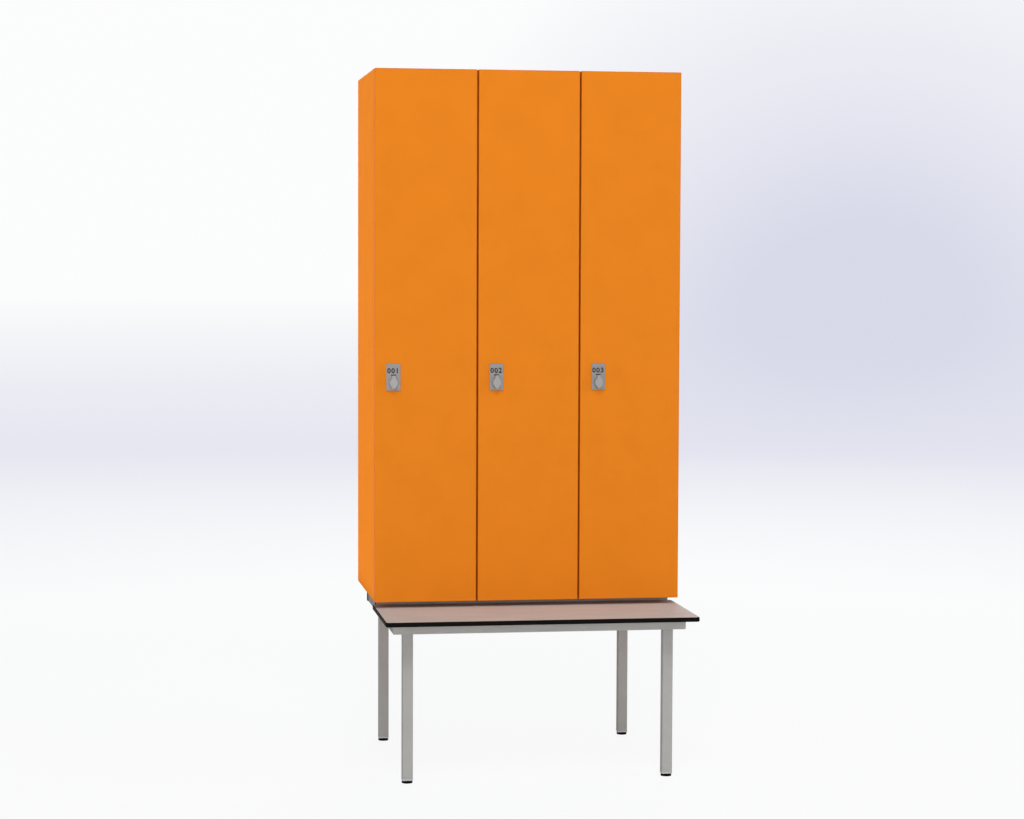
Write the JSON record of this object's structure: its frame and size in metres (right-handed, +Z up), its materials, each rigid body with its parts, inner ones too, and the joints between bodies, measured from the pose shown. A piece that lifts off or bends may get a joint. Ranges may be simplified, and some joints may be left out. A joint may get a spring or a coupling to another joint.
{
  "type": "locker with bench",
  "caption": "Full-height compartment locker with hinged laminate doors and turn-knob locks, standing on a square-tube bench frame with a seat board in front.",
  "frame": {"origin": "on the floor, under the middle of the whole outline", "axes": "+Z up; the doors and the seat face -Y; +X to the right seen from the front"},
  "size_m": [0.9, 0.821, 2.0366],
  "materials": {
    "orange_laminate": "satin",
    "grey_laminate": "satin",
    "seat_laminate": "matte",
    "grey_frame_paint": "satin",
    "black_plastic": "matte",
    "lock_plate_grey": "satin",
    "zinc_metal": "satin",
    "chrome_tube": "polished"
  },
  "bodies": {
    "locker": {"front_rail": "grey_frame_paint", "rear_rail": "grey_frame_paint", "side_rail_left": "grey_frame_paint", "side_rail_right": "grey_frame_paint", "cabinet_bearer": "grey_frame_paint", "leg_front_left": "grey_frame_paint", "leg_front_right": "grey_frame_paint", "leg_rear_left": "grey_frame_paint", "leg_rear_right": "grey_frame_paint", "foot_front_left": "black_plastic", "foot_front_right": "black_plastic", "foot_rear_left": "black_plastic", "foot_rear_right": "black_plastic", "seat_board": "seat_laminate", "side_panel_left": "orange_laminate", "side_panel_right": "orange_laminate", "partition_left": "grey_laminate", "partition_right": "grey_laminate", "top_panel": "orange_laminate", "bottom_panel": "grey_laminate", "back_panel": "grey_laminate", "shelf_1": "grey_laminate", "coat_rail_1": "chrome_tube", "strike_plate_1": "zinc_metal", "hinge_arm_1_bottom": "zinc_metal", "hinge_arm_1_middle": "zinc_metal", "hinge_arm_1_top": "zinc_metal", "shelf_2": "grey_laminate", "coat_rail_2": "chrome_tube", "strike_plate_2": "zinc_metal", "hinge_arm_2_bottom": "zinc_metal", "hinge_arm_2_middle": "zinc_metal", "hinge_arm_2_top": "zinc_metal", "shelf_3": "grey_laminate", "coat_rail_3": "chrome_tube", "strike_plate_3": "zinc_metal", "hinge_arm_3_bottom": "zinc_metal", "hinge_arm_3_middle": "zinc_metal", "hinge_arm_3_top": "zinc_metal"},
    "door_1": {"door_1": "orange_laminate", "lock_housing_1": "lock_plate_grey", "hinge_cup_1_bottom": "zinc_metal", "hinge_cup_1_middle": "zinc_metal", "hinge_cup_1_top": "zinc_metal"},
    "door_2": {"door_2": "orange_laminate", "lock_housing_2": "lock_plate_grey", "hinge_cup_2_bottom": "zinc_metal", "hinge_cup_2_middle": "zinc_metal", "hinge_cup_2_top": "zinc_metal"},
    "door_3": {"door_3": "orange_laminate", "lock_housing_3": "lock_plate_grey", "hinge_cup_3_bottom": "zinc_metal", "hinge_cup_3_middle": "zinc_metal", "hinge_cup_3_top": "zinc_metal"},
    "lock_1": {"lock_knob_1": "zinc_metal", "lock_cam_1": "zinc_metal"},
    "lock_2": {"lock_knob_2": "zinc_metal", "lock_cam_2": "zinc_metal"},
    "lock_3": {"lock_knob_3": "zinc_metal", "lock_cam_3": "zinc_metal"}
  },
  "joints": [
    {"name": "door_1_hinge", "type": "hinge", "parent": "locker", "child": "door_1", "pos_m": [-0.1618, -0.1002, 1.2641], "axis": [0, 0, 1], "range_deg": [0, 95]},
    {"name": "door_2_hinge", "type": "hinge", "parent": "locker", "child": "door_2", "pos_m": [0.1397, -0.1002, 1.2641], "axis": [0, 0, 1], "range_deg": [0, 95]},
    {"name": "door_3_hinge", "type": "hinge", "parent": "locker", "child": "door_3", "pos_m": [0.4412, -0.1002, 1.2641], "axis": [0, 0, 1], "range_deg": [0, 95]},
    {"name": "lock_1_turn", "type": "hinge", "parent": "door_1", "child": "lock_1", "pos_m": [-0.3965, -0.1095, 1.132], "axis": [0, -1, 0], "range_deg": [0, 90]},
    {"name": "lock_2_turn", "type": "hinge", "parent": "door_2", "child": "lock_2", "pos_m": [-0.095, -0.1095, 1.132], "axis": [0, -1, 0], "range_deg": [0, 90]},
    {"name": "lock_3_turn", "type": "hinge", "parent": "door_3", "child": "lock_3", "pos_m": [0.2065, -0.1095, 1.132], "axis": [0, -1, 0], "range_deg": [0, 90]}
  ]
}
